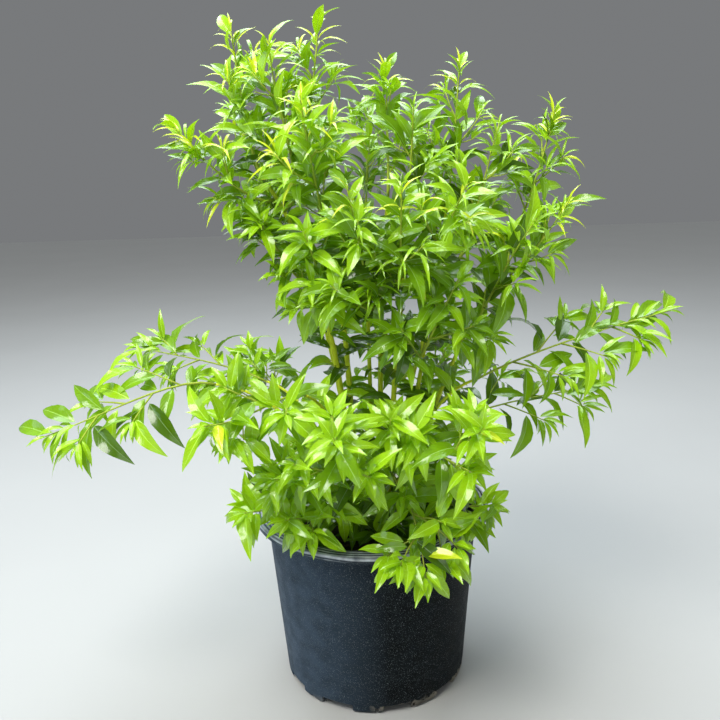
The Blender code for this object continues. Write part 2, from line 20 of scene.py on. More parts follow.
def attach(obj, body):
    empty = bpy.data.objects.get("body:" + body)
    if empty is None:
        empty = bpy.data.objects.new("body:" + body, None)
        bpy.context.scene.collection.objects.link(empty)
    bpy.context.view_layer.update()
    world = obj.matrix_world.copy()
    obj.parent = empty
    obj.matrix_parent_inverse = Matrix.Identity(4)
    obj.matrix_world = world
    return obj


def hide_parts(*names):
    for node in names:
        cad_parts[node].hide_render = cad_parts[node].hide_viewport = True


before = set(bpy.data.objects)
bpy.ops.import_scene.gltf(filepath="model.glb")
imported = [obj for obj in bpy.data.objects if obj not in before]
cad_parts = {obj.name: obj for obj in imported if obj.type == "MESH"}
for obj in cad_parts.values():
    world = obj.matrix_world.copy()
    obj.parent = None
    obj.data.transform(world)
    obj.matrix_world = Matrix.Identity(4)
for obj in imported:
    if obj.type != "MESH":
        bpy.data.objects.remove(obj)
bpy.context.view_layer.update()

FIT_GAP = 0.0003
UP = Vector((0, 0, 1))
LIGHT = Vector((0, -0.6, 1))

POT_HEIGHT = 0.215
LIP_RADIUS = 0.140
LIP_DEPTH = 0.008
LIP_WALL = 0.0025
LIP_RING_TURNS = 1400
RIM_RADIUS = 0.1265
SHOULDER_RADIUS = 0.1105
FOOT_ROUNDING = 0.006
POT_WALL = 0.0024
FLOOR_WALL = 0.003
POT_SIDES = 160
DRAIN_NOTCHES = 10
DRAIN_HEADING = 282
DRAIN_WIDTH = 0.034
DRAIN_HEIGHT = 0.011
DRAIN_INNER_REACH = 0.090
RAGGED_BITES = 5
SHARP_EDGE = 40
SOIL_LEVEL = 0.190
SOIL_FLAT_RADIUS = 0.070
SOIL_FALL = 0.006
SOIL_SIDES = 48
SOIL_BORDER = 0.008
LEVEL_EDGE = 0.002
LUMP_DEPTH = 0.0022
LUMP_HEIGHT = 0.0010
CHIPS = 420
CHIP_LIFT = 0.0006
CHIP_TILT = 0.4

CANE_STEPS = 5
CANE_TAPER = 0.5
CANE_CUT_RISE = 0.006
BARK_STEPS = 48
BARK_SIDES = 12
BARK_WANDER = 0.03
SCAR_SPACING = (0.018, 0.026)
SCAR_WAIST = 0.96
SCAR_SWELL = 0.13
SCAR_HEIGHT = 0.0022

SPRAY_STEM_STEPS = 8
SPRAY_STEM_SHARE = 0.85
STEM_LEAVING_SHARE = 0.25
STEM_ARRIVING_SHARE = 0.33
STEM_FOOT_SHARE = 0.9
SPRAY_FOOT_RADIUS = 0.0020
TWIG_TAPER = 0.7
TWIG_SPREAD = 43
FIRST_TWIG = 0.20
LAST_TWIG = 0.84
TWIG_LENGTH_SWAY = (0.9, 1.15)
SHOOT_TIP_RADIUS = 0.0006
SHOOT_SIDES = 5
SHOOT_STEPS = 4
STEM_YOUNG = 11

LEAF_LENGTH = 0.056
LEAF_WIDTH = 0.0182
LEAF_FOLD = 0.36
LEAF_HOOK = 0.10
LEAF_BEND = (0.4, 1.3)
LEAF_CURL = (0.0, 0.14)
LEAF_SIZE_SWAY = (0.75, 1.2)
LEAF_WIDTH_SWAY = (0.9, 1.12)
LEAF_DROOP_SWAY = (-0.12, 0.18)
LEAF_SPREAD_SWAY = 8
LEAF_WAVE = 0.14
LEAF_WAVE_TURNS = 9
RIB_SHARE = 0.05
RIB_TAPER = 0.6
VEIN_TURNS = 50
VEIN_SLANT = 34
LIGHT_THROUGH = 0.24
STALK_SHARE = 0.09
BARE_STEM = 0.22
BARE_TWIG = 0.15
BARE_CANE = 0.05
CANE_LEAF_SPACING = 0.014
CANE_LEAF_SPREAD = (45, 75)
CANE_LEAF_DROOP = (-0.1, 0.4)
# Painted light: lone cane leaves inside the plant take low brightness, mostly the darker painted-shade tones,
# and those on arching canes are painted lighter.
CANE_LEAF_LIGHT = (0.1, 0.55)
ARCH_LIGHT = 0.25
LONE_LEAF_SIZE = (0.65, 1.0)
BASAL_SHOOTS = 4
BASAL_SHARE = 0.16
BASAL_REACH = 0.035
BASAL_SWAY = 50
BASAL_CLIMB = (0.3, 0.9)
BASAL_LENGTH = (0.030, 0.055)
BASAL_SAG = 0.15
# Painted shade: basal shoots low under the crown take a low brightness.
BASAL_LIGHT = 0.22
YOUNG_LEAF_LENGTH = 0.028
YOUNG_RUN_SHARE = 0.22
YOUNG_SIZE = (1.25, 0.65)
YOUNG_SPREAD = (1.4, 0.3)
YOUNG_LENGTH_SWAY = (0.8, 1.2)
YOUNG_BEND_SHARE = (0.35, 1)
YOUNG_CURL = (0.05, 0.15)
# Painted light: a leaf's brightness, which picks its tone, is its spray's painted light, raised towards the
# shoot's tip, plus a random spread; young leaves take more, and finer shoots are painted dimmer.
YOUNG_SPRAY_LIGHT = 0.6
YOUNG_LIGHT_CHANCE = 0.1
SHOOT_DIMMING = 0.08
SPRAY_LIGHT = 0.5
TIP_LIGHT = 0.38
LIGHT_CHANCE = (-0.23, 0.17)
OUTWARD_LEAN = 0.6
LIGHT_SWAY = 0.5
UPPER_RANK = Vector((0, 0.7, 0.7))
RANK_SWAY = 0.35
RANK_SWAY_TURN = 2.4
GOLDEN_ANGLE = 137.5
FIRST_TURNS = 10
POT_CLEARANCE = 0.005

CAMERA_PLACE = (-0.0085, -0.8685, 0.6164)
CAMERA_PITCH = 14.5
CAMERA_ROLL = 1.74
SENSOR_WIDTH = 36
FOCAL_PIXELS = 775
FRAME_PIXELS = 720


class Cane(NamedTuple):
    """A limb from the potting mix to its tip, where its end spray takes over.

    `arch` bends it: at 1 it rises upright and ends level, and at -1 it keeps to its lean.
    """

    name: str
    foot_heading: float
    foot_reach: float
    heading: float
    reach: float
    height: float
    arch: float
    radius: float


class Habit(NamedTuple):
    """How a spray grows.

    First its bend and its twigs' length for its own. Then its leaves' droop, their size at a shoot's
    foot and tip, their spacing, how they gather at the tip, and the angle they leave the shoot at.
    Last the run of its young tip, the width, greatest bend and added brightness of the young leaves
    there, and whether its leaves and twigs stand in two ranks.
    """

    bend: float
    twig_share: float
    droop: float
    leaf: float
    tip_leaf: float
    spacing: float
    gather: float
    foot_spread: float
    tip_spread: float
    young_run: float
    young_width: float
    young_bend: float
    young_light: float
    two_ranked: bool


class Spray(NamedTuple):
    """A foliage mass. `at` is its place along its cane, 1 at the tip, and `light` its painted light: how lit
    its leaves are drawn for its place in the crown, low for painted shade at the back and inside.
    """

    name: str
    cane: str
    at: float
    heading: float
    reach: float
    height: float
    habit: str
    light: float


CANES = (
    Cane("left_leader", 200, 0.020, 180, 0.108, 0.600, 0.3, 0.0044),
    Cane("left_twin", 150, 0.020, 153, 0.066, 0.605, 0.2, 0.0042),
    Cane("centre_leader", 20, 0.012, 54, 0.049, 0.570, 0.1, 0.0042),
    Cane("centre_twin", 320, 0.024, 337, 0.052, 0.560, 0.0, 0.0040),
    Cane("right_leader", 15, 0.038, 17, 0.100, 0.560, -0.5, 0.0034),
    Cane("right_outer_cane", 25, 0.050, 10, 0.177, 0.530, 0.1, 0.0032),
    Cane("left_arm_cane", 190, 0.042, 192, 0.174, 0.378, 0.8, 0.0030),
    Cane("left_upper_arm_cane", 160, 0.042, 158, 0.134, 0.355, 0.8, 0.0028),
    Cane("right_arm_cane", 345, 0.042, 350, 0.126, 0.371, 0.7, 0.0030),
    Cane("right_lower_arm_cane", 22, 0.064, 24, 0.112, 0.293, 0.8, 0.0028),
    Cane("front_left_cane", 232, 0.040, 240, 0.130, 0.385, 0.6, 0.0028),
    Cane("front_cane", 265, 0.036, 260, 0.105, 0.290, 0.6, 0.0026),
    Cane("front_right_cane", 300, 0.042, 294, 0.112, 0.300, 0.6, 0.0026),
    Cane("back_left_cane", 120, 0.038, 125, 0.120, 0.480, 0.2, 0.0034),
    Cane("back_cane", 85, 0.034, 88, 0.100, 0.520, 0.1, 0.0036),
    Cane("back_right_cane", 50, 0.042, 45, 0.140, 0.470, 0.2, 0.0034),
    Cane("back_low_left_cane", 140, 0.060, 132, 0.140, 0.300, 0.7, 0.0028),
    Cane("back_low_right_cane", 62, 0.060, 62, 0.140, 0.300, 0.7, 0.0028),
)

# The last column is painted light and shade: sprays at the back and inside the crown take low values and
# darker tones, and those at the lit front and top take high ones.
SPRAYS = (
    Spray("left_crest", "left_leader", 1, 183, 0.135, 0.764, "upright", 0.80),
    Spray("left_crest_inner", "left_leader", 0.90, 205, 0.100, 0.752, "upright", 0.75),
    Spray("left_outer", "left_leader", 0.94, 196, 0.206, 0.658, "upright", 0.75),
    Spray("left_low", "left_leader", 0.70, 198, 0.128, 0.572, "bushy", 0.50),
    Spray("left_peak", "left_twin", 1, 136, 0.058, 0.776, "upright", 0.80),
    Spray("left_front", "left_twin", 0.80, 245, 0.140, 0.690, "upright", 0.80),
    Spray("left_inner", "left_twin", 0.60, 242, 0.130, 0.553, "bushy", 0.75),
    Spray("back_crest_left", "left_twin", 0.72, 155, 0.181, 0.704, "upright", 0.40),
    Spray("centre_peak", "centre_leader", 1, 63, 0.068, 0.730, "upright", 0.60),
    Spray("centre_inner", "centre_leader", 0.74, 255, 0.075, 0.560, "bushy", 0.35),
    Spray("centre_small", "centre_twin", 1, 333, 0.062, 0.672, "upright", 0.50),
    Spray("right_front", "centre_twin", 0.84, 299, 0.200, 0.598, "upright", 0.68),
    Spray("centre_front", "centre_twin", 0.72, 281, 0.173, 0.606, "upright", 0.60),
    Spray("centre_front_left", "centre_twin", 0.62, 261, 0.145, 0.612, "upright", 0.58),
    Spray("centre_low", "centre_twin", 0.50, 306, 0.158, 0.505, "bushy", 0.42),
    Spray("front_mid", "centre_twin", 0.22, 276, 0.178, 0.380, "bushy", 0.55),
    Spray("right_peak", "right_leader", 1, 19, 0.119, 0.730, "upright", 0.62),
    Spray("right_mid", "right_leader", 0.78, 353, 0.155, 0.666, "upright", 0.55),
    Spray("back_crest_right", "right_leader", 0.70, 52, 0.175, 0.650, "upright", 0.38),
    Spray("right_shoulder", "right_outer_cane", 1, 7, 0.221, 0.674, "upright", 0.65),
    Spray("right_outer", "right_outer_cane", 0.82, 348, 0.228, 0.574, "upright", 0.65),
    Spray("right_side", "right_outer_cane", 0.60, 332, 0.193, 0.557, "arching", 0.50),
    Spray("left_arm", "left_arm_cane", 1, 196, 0.359, 0.346, "arching", 0.50),
    Spray("rim_left", "left_arm_cane", 0.20, 226, 0.193, 0.266, "bushy", 0.68),
    Spray("left_arm_upper", "left_upper_arm_cane", 1, 171, 0.279, 0.406, "arching", 0.62),
    Spray("right_arm", "right_arm_cane", 1, 351, 0.334, 0.454, "arching", 0.60),
    Spray("rim_right_side", "right_arm_cane", 0.18, 322, 0.168, 0.249, "bushy", 0.60),
    Spray("right_arm_lower", "right_lower_arm_cane", 1, 11, 0.301, 0.339, "arching", 0.40),
    Spray("front_left", "front_left_cane", 1, 234, 0.255, 0.385, "bushy", 0.80),
    Spray("front_low_left", "front_left_cane", 0.45, 240, 0.192, 0.314, "bushy", 0.60),
    Spray("rim_front_left", "front_left_cane", 0.20, 240, 0.176, 0.264, "bushy", 0.60),
    Spray("front_centre", "front_cane", 1, 262, 0.245, 0.385, "bushy", 0.82),
    Spray("front_right", "front_right_cane", 1, 296, 0.236, 0.378, "bushy", 0.80),
    Spray("rim_right", "front_right_cane", 0.82, 284, 0.203, 0.227, "weeping", 0.86),
    Spray("back_left", "back_left_cane", 1, 124, 0.215, 0.610, "upright", 0.45),
    Spray("back_centre", "back_cane", 1, 86, 0.185, 0.700, "upright", 0.45),
    Spray("rim_back", "back_cane", 0.12, 92, 0.185, 0.270, "bushy", 0.50),
    Spray("back_right", "back_right_cane", 1, 43, 0.232, 0.600, "upright", 0.45),
    Spray("back_low_left", "back_low_left_cane", 1, 128, 0.285, 0.365, "bushy", 0.50),
    Spray("back_low_right", "back_low_right_cane", 1, 60, 0.285, 0.360, "bushy", 0.50),
)

HABITS = {
    "upright": Habit(
        bend=0.45, twig_share=0.37, droop=-0.22, leaf=0.90, tip_leaf=0.64, spacing=0.0098, gather=1.0,
        foot_spread=58, tip_spread=36, young_run=0.012, young_width=0.12, young_bend=2.1, young_light=0.52,
        two_ranked=False,
    ),
    "bushy": Habit(
        bend=0.15, twig_share=0.46, droop=0.10, leaf=0.83, tip_leaf=0.84, spacing=0.0125, gather=1.6,
        foot_spread=66, tip_spread=58, young_run=0.020, young_width=0.34, young_bend=0.8, young_light=0.34,
        two_ranked=False,
    ),
    "arching": Habit(
        bend=-0.10, twig_share=0.34, droop=-0.05, leaf=1.06, tip_leaf=0.74, spacing=0.0145, gather=1.0,
        foot_spread=62, tip_spread=42, young_run=0.030, young_width=0.22, young_bend=1.2, young_light=0.40,
        two_ranked=True,
    ),
    "weeping": Habit(
        bend=-0.50, twig_share=0.60, droop=0.22, leaf=0.80, tip_leaf=0.88, spacing=0.0092, gather=1.6,
        foot_spread=66, tip_spread=60, young_run=0.024, young_width=0.36, young_bend=0.8, young_light=0.32,
        two_ranked=False,
    ),
}


class LeafLook(NamedTuple):
    """A tone: its colour, the light through it, its roughness, and the least brightness it takes."""

    color: tuple
    glow: tuple
    roughness: float
    least: float


# Lit and shaded copies of one leaf green, picked by painted light: lime for lit leaves, fresh for half-lit
# ones, and the darkest tone for painted shade inside and behind the crown. The young tone is the new growth's
# own yellow, given at the brightest tips.
LEAF_LOOKS = {
    "young": LeafLook((0.58, 0.72, 0.016), (0.80, 0.92, 0.010), 0.28, 0.90),
    "lime": LeafLook((0.30, 0.54, 0.008), (0.49, 0.81, 0.006), 0.22, 0.54),
    "fresh": LeafLook((0.165, 0.335, 0.006), (0.33, 0.61, 0.005), 0.18, 0.30),
    "deep": LeafLook((0.062, 0.140, 0.005), (0.17, 0.33, 0.004), 0.16, -1.0),
}

CANE_BARK = {"low": (0.20, 0.13, 0.04), "high": (0.70, 0.80, 0.03), "foot": 0.20, "top": 0.23}
TWIG_BARK = {"low": (0.26, 0.22, 0.04), "high": (0.42, 0.54, 0.05), "foot": 0.20, "top": 0.28}

POT_COLORS = {
    # Painted light on the pot's left side and painted shade on its right side.
    "painted lit side": (0.050, 0.078, 0.116, 1),
    "painted shaded side": (0.002, 0.0035, 0.004, 1),
    "dust": (0.012, 0.018, 0.022, 1),
    "speck": (0.34, 0.38, 0.40, 1),
    "scuff": (0.20, 0.22, 0.25, 1),
    "dirt": (0.30, 0.27, 0.22, 1),
    # A painted sheen: the pale colour of the lip's streaky highlights.
    "painted lip sheen": (0.62, 0.66, 0.72, 1),
}


class Growth(NamedTuple):
    """How side shoots grow.

    Their spacing and least number, their length for the habit's and its least, their foot's radius,
    and how many young leaves close in round each tip.
    """

    spacing: float
    fewest: int
    share: float
    shortest: float
    radius: float
    young: int


TWIGS = Growth(spacing=0.030, fewest=2, share=1.0, shortest=0.028, radius=0.0012, young=8)
FINE_TWIGS = Growth(spacing=0.026, fewest=1, share=1.1, shortest=0.018, radius=0.0008, young=5)


SURFACE_INPUTS = {
    "color": "Base Color",
    "roughness": "Roughness",
    "normal": "Normal",
    "coat": "Coat Weight",
    "coat_roughness": "Coat Roughness",
    "ior": "IOR",
}


class Wire:
    """A shader socket. Arithmetic on it adds Math nodes."""

    def __init__(self, shader, socket):
        self.shader = shader
        self.socket = socket

    def math(self, operation, *values):
        return self.shader.add("ShaderNodeMath", {"operation": operation}, dict(enumerate(values)))

    def __add__(self, other):
        return self.math("ADD", self, other)

    __radd__ = __add__

    def __sub__(self, other):
        return self.math("SUBTRACT", self, other)

    def __rsub__(self, other):
        return self.math("SUBTRACT", other, self)

    def __mul__(self, other):
        return self.math("MULTIPLY", self, other)

    __rmul__ = __mul__

    def size(self):
        return self.math("ABSOLUTE", self)

    def sine(self):
        return self.math("SINE", self)

    def over(self, level, softness):
        """0 below the level and 1 above it, across the softness."""
        ranges = {"From Min": level - softness, "From Max": level + softness}
        return self.shader.add("ShaderNodeMapRange", {}, {"Value": self, **ranges})


class Shader:
    """A material whose Principled node and others are set from Python values and Wires."""

    def __init__(self, name):
        self.material = bpy.data.materials.new(name)
        self.material.use_nodes = True
        self.tree = self.material.node_tree
        self.main = self.tree.nodes["Principled BSDF"]

    def plug(self, node, inputs):
        for key, value in inputs.items():
            if isinstance(value, Wire):
                self.tree.links.new(value.socket, node.inputs[key])
            else:
                node.inputs[key].default_value = value

    def add(self, kind, settings=None, inputs=None, output=0):
        node = self.tree.nodes.new(kind)
        for key, value in (settings or {}).items():
            setattr(node, key, value)
        self.plug(node, inputs or {})
        return Wire(self, node.outputs[output])

    def place(self):
        return self.add("ShaderNodeTexCoord", output="Object")

    def noise(self, scale, detail=3, vector=None):
        inputs = {"Vector": vector or self.place(), "Scale": scale, "Detail": detail}
        return self.add("ShaderNodeTexNoise", {}, inputs, "Fac")

    def blend(self, share, one, other):
        return self.add("ShaderNodeMix", {"data_type": "RGBA"}, {"Factor": share, 6: one, 7: other}, 2)

    def bump(self, height, strength, distance):
        return self.add("ShaderNodeBump", {}, {"Height": height, "Strength": strength, "Distance": distance})

    def finish(self, **inputs):
        self.plug(self.main, {SURFACE_INPUTS[key]: value for key, value in inputs.items()})
        return self.material


def shade(color, factor):
    return (*(min(1, part * factor) for part in color), 1)


def leaf_material(name, color, glow, roughness):
    """A leaf blade: mottled green, gloss over faint side veins, and light that passes through."""
    shader = Shader(name)
    mottle = shader.noise(35)
    fine = shader.noise(420, 2)
    surface = shader.add("ShaderNodeTexCoord", output="UV")
    across = shader.add("ShaderNodeSeparateXYZ", {}, {"Vector": surface}, "X")
    along = shader.add("ShaderNodeSeparateXYZ", {}, {"Vector": surface}, "Y")
    veins = (along * VEIN_TURNS - (across - 0.5).size() * VEIN_SLANT).sine()
    relief = veins * 0.5 + fine * 0.3
    shader.finish(
        color=shader.blend(mottle.over(0.5, 0.22), shade(color, 0.78), shade(color, 1.2)),
        roughness=fine * 0.12 + roughness,
        normal=shader.bump(relief, 0.25, 0.0006),
        coat=0.9,
        coat_roughness=0.14,
        ior=1.25,
    )
    through = shader.add("ShaderNodeBsdfTranslucent", {}, {"Color": (*glow, 1)})
    blade = Wire(shader, shader.main.outputs[0])
    mixed = shader.add("ShaderNodeMixShader", {}, {0: LIGHT_THROUGH, 1: blade, 2: through})
    shader.plug(shader.tree.nodes["Material Output"], {"Surface": mixed})
    return shader.material


def rib_material(name, color):
    """A pale midrib and its stalk."""
    shader = Shader(name)
    grain = shader.noise(300)
    return shader.finish(color=shader.blend(grain, shade(color, 0.85), shade(color, 1.1)), roughness=0.42)


def bark_material(name, low, high, foot, top):
    """Young bark, streaked: brown up to the foot's height, and yellow-green from the top's on."""
    shader = Shader(name)
    place = shader.place()
    height = shader.add("ShaderNodeSeparateXYZ", {}, {"Vector": place}, "Z")
    stretched = shader.add("ShaderNodeMapping", {}, {"Vector": place, "Scale": (1, 1, 0.12)})
    streaks = shader.noise(900, 4, stretched)
    share = (height + streaks * 0.12 - 0.06).over((foot + top) / 2, (top - foot) / 2)
    base = shader.blend(share, (*low, 1), (*high, 1))
    shader.finish(
        color=shader.blend(streaks.over(0.5, 0.2), base, shade(high, 0.6)),
        roughness=streaks * 0.25 + 0.4,
        normal=shader.bump(streaks, 0.35, 0.0006),
        ior=1.3,
    )
    return shader.material


def pot_material():
    """Blow-moulded plastic with pale specks, dust, scuffs and a dirty foot, painted light on its left side,
    painted shade on its right, and a painted highlight of streaky rings on its lip.
    """
    shader = Shader("nursery_pot_plastic")
    place = shader.place()
    height = shader.add("ShaderNodeSeparateXYZ", {}, {"Vector": place}, "Z")
    specks = shader.noise(1300, 1).over(0.68, 0.03)
    dust = shader.noise(60, 5).over(0.55, 0.2)
    slant = {"Vector": place, "Scale": (1, 1, 5), "Rotation": (0.5, 0.2, 0)}
    scuffs = shader.noise(55, 6, shader.add("ShaderNodeMapping", {}, slant)).over(0.72, 0.03)
    level = shader.add("ShaderNodeMapping", {}, {"Vector": place, "Scale": (1, 1, 0)})
    reach = shader.add("ShaderNodeVectorMath", {"operation": "LENGTH"}, {0: level}, "Value")
    # Painted highlight: fine rings on the lip's top and outer band, broken up by noise, are painted pale as
    # streaky reflections on the glossy plastic.
    rings = ((reach + height) * LIP_RING_TURNS + shader.noise(16) * 9).sine()
    lip = height.over(POT_HEIGHT - LIP_DEPTH * 0.7, 0.001) * reach.over(RIM_RADIUS - POT_WALL, 0.0005)
    lip_sheen = lip * rings.over(0.1, 1.0) * shader.noise(90, 4).over(0.38, 0.25)
    dirt = (shader.noise(170, 4) * 0.016 - height).over(-0.002, 0.001) * shader.noise(14, 2).over(0.5, 0.06)
    # Painted light and shade: the pot is painted lighter and bluer on its left (-X) side and near black on
    # its right, as the light falls.
    painted_shade_side = shader.add("ShaderNodeSeparateXYZ", {}, {"Vector": place}, "X").over(-0.045, 0.06)
    plain = shader.blend(painted_shade_side, POT_COLORS["painted lit side"], POT_COLORS["painted shaded side"])
    body = shader.blend(dust * 0.5, plain, POT_COLORS["dust"])
    speckled = shader.blend(specks * 0.4, body, POT_COLORS["speck"])
    scuffed = shader.blend(scuffs * 0.30, speckled, POT_COLORS["scuff"])
    dirty = shader.blend(dirt * 0.7, scuffed, POT_COLORS["dirt"])
    shader.finish(
        color=shader.blend(lip_sheen * 0.9, dirty, POT_COLORS["painted lip sheen"]),
        roughness=dust * 0.18 + 0.46 - lip * 0.22,
        normal=shader.bump(shader.noise(700, 3), 0.25, 0.0005),
        ior=1.15,
    )
    return shader.material


def mix_material(name, dark, light):
    """Damp potting mix or bark chips."""
    shader = Shader(name)
    grit = shader.noise(320, 6)
    shader.finish(
        color=shader.blend(grit.over(0.52, 0.2), (*dark, 1), (*light, 1)),
        roughness=grit * 0.3 + 0.65,
        normal=shader.bump(grit, 0.8, 0.002),
    )
    return shader.material


def floor_material():
    """A pale, faintly clouded studio floor."""
    shader = Shader("pale_floor")
    clouded = shader.blend(shader.noise(3, 2), (0.41, 0.41, 0.40, 1), (0.44, 0.44, 0.43, 1))
    return shader.finish(color=clouded, roughness=0.8)


def new_piece(name, mesh, materials, slot, *nodes):
    """A finished piece at the origin, riding on the plant's one body in place of the named solids."""
    for material in materials:
        mesh.materials.append(material)
    piece = bpy.data.objects.new(name, mesh)
    bpy.context.scene.collection.objects.link(piece)
    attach(piece, "root")
    if nodes:
        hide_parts(*nodes)


def mesh_of(name, bm):
    mesh = bpy.data.meshes.new(name)
    bm.to_mesh(mesh)
    bm.free()
    return mesh


def polar(heading, reach, height):
    angle = math.radians(heading)
    return Vector((reach * math.cos(angle), reach * math.sin(angle), height))


def wall_radius(height):
    """The outer radius of the pot's straight wall."""
    share = (height - FOOT_ROUNDING) / (POT_HEIGHT - FOOT_ROUNDING)
    return SHOULDER_RADIUS + (RIM_RADIUS - SHOULDER_RADIUS) * share


def foot_arc(inset, steps=6):
    centre = SHOULDER_RADIUS - FOOT_ROUNDING
    bend = FOOT_ROUNDING - inset
    angles = [math.radians(90 * step / steps) for step in range(steps + 1)]
    return [(centre + bend * math.cos(a), FOOT_ROUNDING - bend * math.sin(a)) for a in angles]


def pot_profile():
    """From the middle of the floor's upper side, up the inner wall, over the lip and down the outer side."""
    under_lip = POT_HEIGHT - LIP_WALL
    mouth = RIM_RADIUS - POT_WALL
    outer = LIP_RADIUS - LIP_WALL
    lip = [
        (mouth, POT_HEIGHT - 0.0012),
        (mouth + 0.0005, POT_HEIGHT - 0.0004),
        (mouth + 0.0015, POT_HEIGHT),
        (LIP_RADIUS - 0.0025, POT_HEIGHT),
        (LIP_RADIUS - 0.0008, POT_HEIGHT - 0.0006),
        (LIP_RADIUS, POT_HEIGHT - 0.002),
        (LIP_RADIUS, POT_HEIGHT - LIP_DEPTH + 0.0005),
        (LIP_RADIUS - 0.0006, POT_HEIGHT - LIP_DEPTH),
        (outer, POT_HEIGHT - LIP_DEPTH),
        (outer, under_lip),
        (wall_radius(under_lip), under_lip),
    ]
    return [(0.0, FLOOR_WALL), *reversed(foot_arc(POT_WALL)), *lip, *foot_arc(0), (0.0, 0.0)]


def drain_cutters(rng):
    """Blocks that cut the drain notches round the pot's bottom edge, and small ones that leave it ragged."""
    bm = bmesh.new()
    length = LIP_RADIUS - DRAIN_INNER_REACH
    half_gap = 180 / DRAIN_NOTCHES
    for notch in range(DRAIN_NOTCHES):
        middle = DRAIN_HEADING + notch * 2 * half_gap
        bites = [(middle, DRAIN_WIDTH, DRAIN_HEIGHT)]
        for _ in range(RAGGED_BITES):
            heading = middle + rng.uniform(-half_gap, half_gap)
            bites.append((heading, rng.uniform(0.002, 0.008), rng.uniform(0.003, DRAIN_HEIGHT)))
        for heading, width, height in bites:
            block = bmesh.ops.create_cube(bm, size=1)["verts"]
            size = Matrix.Diagonal((length, width, 2 * height, 1))
            turn = Matrix.Rotation(math.radians(heading), 4, "Z")
            out = Matrix.Translation((DRAIN_INNER_REACH + length / 2, 0, 0))
            bmesh.ops.transform(bm, matrix=turn @ out @ size, verts=block)
    return mesh_of("drain_cutters", bm)


def build_pot(rng):
    """A spun shell with a turned-down lip, cut by its drain notches."""
    bm = bmesh.new()
    corners = [bm.verts.new((radius, 0, height)) for radius, height in pot_profile()]
    edges = [bm.edges.new(pair) for pair in zip(corners, corners[1:])]
    turn = {"axis": UP, "cent": (0, 0, 0), "angle": math.tau, "steps": POT_SIDES}
    bmesh.ops.spin(bm, geom=corners + edges, use_merge=True, **turn)
    bmesh.ops.remove_doubles(bm, verts=bm.verts, dist=1e-5)
    bmesh.ops.recalc_face_normals(bm, faces=bm.faces)
    shell = bpy.data.objects.new("pot_shell", mesh_of("pot_shell", bm))
    cutters = bpy.data.objects.new("drain_cutters", drain_cutters(rng))
    for thing in (shell, cutters):
        bpy.context.scene.collection.objects.link(thing)
    cut = shell.modifiers.new("drain notches", "BOOLEAN")
    cut.object = cutters
    cut.use_self = True
    mesh = bpy.data.meshes.new_from_object(shell.evaluated_get(bpy.context.evaluated_depsgraph_get()))
    for thing in (shell, cutters):
        bpy.data.objects.remove(thing)
    mesh.name = "nursery_pot"
    mesh.shade_smooth()
    mesh.set_sharp_from_angle(angle=math.radians(SHARP_EDGE))
    new_piece("nursery_pot", mesh, [pot_material()], "pot_plastic", "pot")


def mix_height(reach, edge):
    """The mix's level at a reach from the pot's axis: flat in the middle, lower towards the wall."""
    return SOIL_LEVEL - SOIL_FALL * max(0, (reach - SOIL_FLAT_RADIUS) / (edge - SOIL_FLAT_RADIUS))


def build_mix(rng, edge):
    """The potting mix: a lumpy disc that is level at the pot's wall."""
    bm = bmesh.new()
    bmesh.ops.create_circle(bm, cap_ends=True, segments=SOIL_SIDES, radius=edge)
    bmesh.ops.inset_region(bm, faces=bm.faces, thickness=SOIL_BORDER)
    middle = min(bm.faces, key=lambda face: face.calc_center_median().length)
    bmesh.ops.poke(bm, faces=[middle])
    bmesh.ops.subdivide_edges(bm, edges=bm.edges, cuts=3, use_grid_fill=True)
    for vert in bm.verts:
        reach = vert.co.xy.length
        lump = 0 if reach > edge - LEVEL_EDGE else rng.uniform(-LUMP_DEPTH, LUMP_HEIGHT)
        vert.co.z = mix_height(reach, edge) + lump
    mesh = mesh_of("potting_mix_top", bm)
    mesh.shade_smooth()
    damp_mix = mix_material("damp_mix", (0.008, 0.006, 0.005), (0.05, 0.034, 0.022))
    new_piece("potting_mix_top", mesh, [damp_mix], "mix", "potting_mix")


def build_chips(rng, edge):
    """Bark chips, each a slightly crushed block, scattered over the mix."""
    bm = bmesh.new()
    for _ in range(CHIPS):
        reach = (edge - SOIL_BORDER) * math.sqrt(rng.random())
        spot = polar(rng.uniform(0, 360), reach, mix_height(reach, edge) + CHIP_LIFT)
        size = Vector((rng.uniform(0.003, 0.011), rng.uniform(0.002, 0.005), rng.uniform(0.0008, 0.002)))
        heading = Matrix.Rotation(rng.uniform(0, math.tau), 4, "Z")
        turn = heading @ Matrix.Rotation(rng.uniform(-CHIP_TILT, CHIP_TILT), 4, "X")
        chip = bmesh.ops.create_cube(bm, size=1)["verts"]
        for vert in chip:
            vert.co = vert.co * rng.uniform(0.75, 1.1)
        place = Matrix.Translation(spot) @ turn @ Matrix.Diagonal((*size, 1))
        bmesh.ops.transform(bm, matrix=place, verts=chip)
    bark_chip = mix_material("bark_chip", (0.025, 0.014, 0.009), (0.16, 0.09, 0.05))
    new_piece("bark_chips", mesh_of("bark_chips", bm), [bark_chip], "mix")


def curve_points(start, start_handle, end_handle, end, steps):
    """Points at even shares of a cubic curve."""
    points = []
    for step in range(steps + 1):
        t = step / steps
        s = 1 - t
        points.append(s**3 * start + 3 * s * s * t * start_handle + 3 * s * t * t * end_handle + t**3 * end)
    return points


def tangents_of(points):
    runs = [(b - a).normalized() for a, b in zip(points, points[1:])]
    inner = [(a + b).normalized() for a, b in zip(runs, runs[1:])]
    return [runs[0], *inner, runs[-1]]


